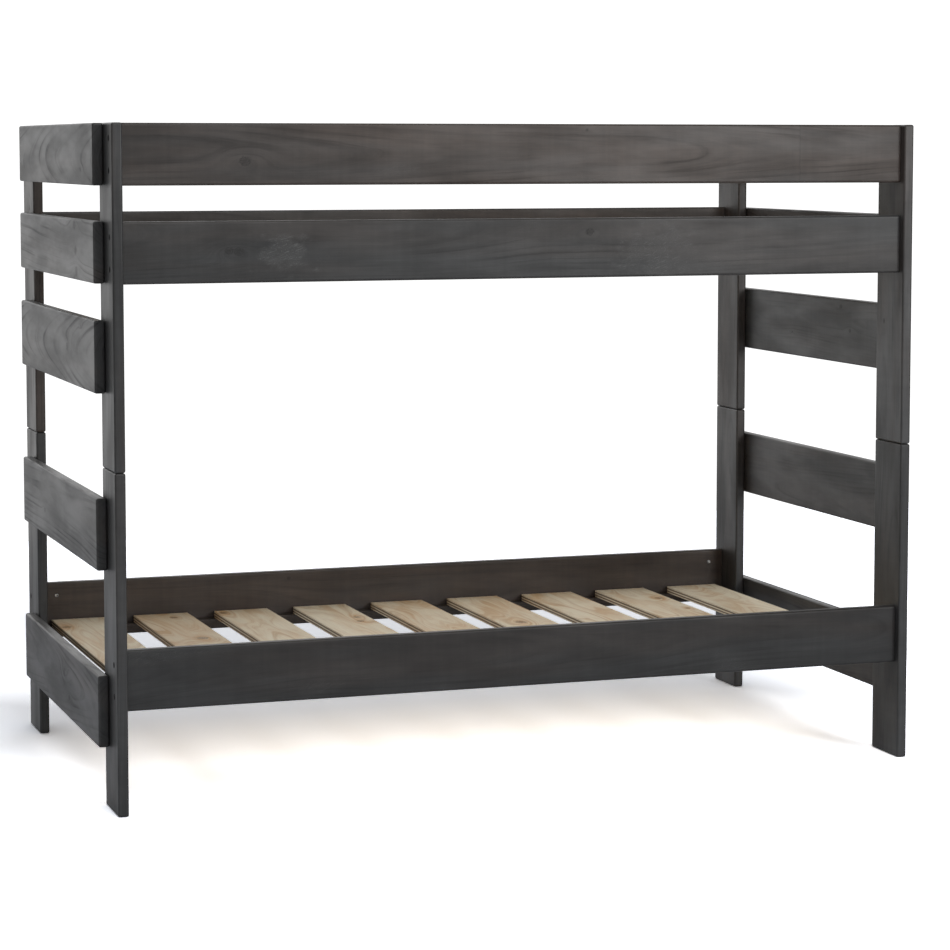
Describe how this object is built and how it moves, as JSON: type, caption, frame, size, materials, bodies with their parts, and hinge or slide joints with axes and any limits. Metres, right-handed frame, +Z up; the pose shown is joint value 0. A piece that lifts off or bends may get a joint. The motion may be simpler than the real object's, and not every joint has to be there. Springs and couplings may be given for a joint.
{
  "type": "bunk bed",
  "caption": "Bunk bed of stained planks: two stacked slatted beds, with full-length guard rails and wide end boards that serve as the ladder.",
  "frame": {"origin": "on the floor, under the middle of the bed", "axes": "+X along the bed towards its right end, +Y from the front to the back, +Z up"},
  "size_m": [2.0306, 1.116, 1.5613],
  "materials": {
    "stained_pine": "charcoal stain with a satin clear coat, the grain and knots showing through",
    "plywood": "unfinished five-ply softwood plywood, sanded",
    "zinc_steel": "zinc plated"
  },
  "bodies": {
    "lower_bed": {"barrel_nut_back_left_high": "zinc_steel", "barrel_nut_back_left_low": "zinc_steel", "barrel_nut_back_right_high": "zinc_steel", "barrel_nut_back_right_low": "zinc_steel", "lower_bed_rail_back": "stained_pine", "lower_bed_rail_front": "stained_pine", "lower_ledger_back": "stained_pine", "lower_ledger_front": "stained_pine", "lower_post_back_left": "stained_pine", "lower_post_back_right": "stained_pine", "lower_post_front_left": "stained_pine", "lower_post_front_right": "stained_pine", "lower_rung_board_left": "stained_pine", "lower_rung_board_right": "stained_pine", "lower_slat_1": "plywood", "lower_slat_2": "plywood", "lower_slat_3": "plywood", "lower_slat_4": "plywood", "lower_slat_5": "plywood", "lower_slat_6": "plywood", "lower_slat_7": "plywood", "lower_slat_8": "plywood", "lower_slat_9": "plywood", "middle_rung_board_left": "stained_pine", "middle_rung_board_right": "stained_pine", "rail_bolt_back_left_high": "zinc_steel", "rail_bolt_back_left_low": "zinc_steel", "rail_bolt_back_right_high": "zinc_steel", "rail_bolt_back_right_low": "zinc_steel", "stacking_pin_back_left": "zinc_steel", "stacking_pin_back_right": "zinc_steel", "stacking_pin_front_left": "zinc_steel", "stacking_pin_front_right": "zinc_steel"},
    "upper_bed": {"bed_end_board_left": "stained_pine", "bed_end_board_right": "stained_pine", "guard_end_board_left": "stained_pine", "guard_end_board_right": "stained_pine", "guard_rail_back": "stained_pine", "guard_rail_front": "stained_pine", "upper_bed_rail_back": "stained_pine", "upper_bed_rail_front": "stained_pine", "upper_ledger_back": "stained_pine", "upper_ledger_front": "stained_pine", "upper_post_back_left": "stained_pine", "upper_post_back_right": "stained_pine", "upper_post_front_left": "stained_pine", "upper_post_front_right": "stained_pine", "upper_rung_board_left": "stained_pine", "upper_rung_board_right": "stained_pine", "upper_slat_1": "plywood", "upper_slat_2": "plywood", "upper_slat_3": "plywood", "upper_slat_4": "plywood", "upper_slat_5": "plywood", "upper_slat_6": "plywood", "upper_slat_7": "plywood", "upper_slat_8": "plywood", "upper_slat_9": "plywood"}
  },
  "joints": [
    {"name": "unstack_lift", "type": "slide", "parent": "lower_bed", "child": "upper_bed", "axis": [0, 0, 1], "range_m": [0, 0.1]}
  ]
}
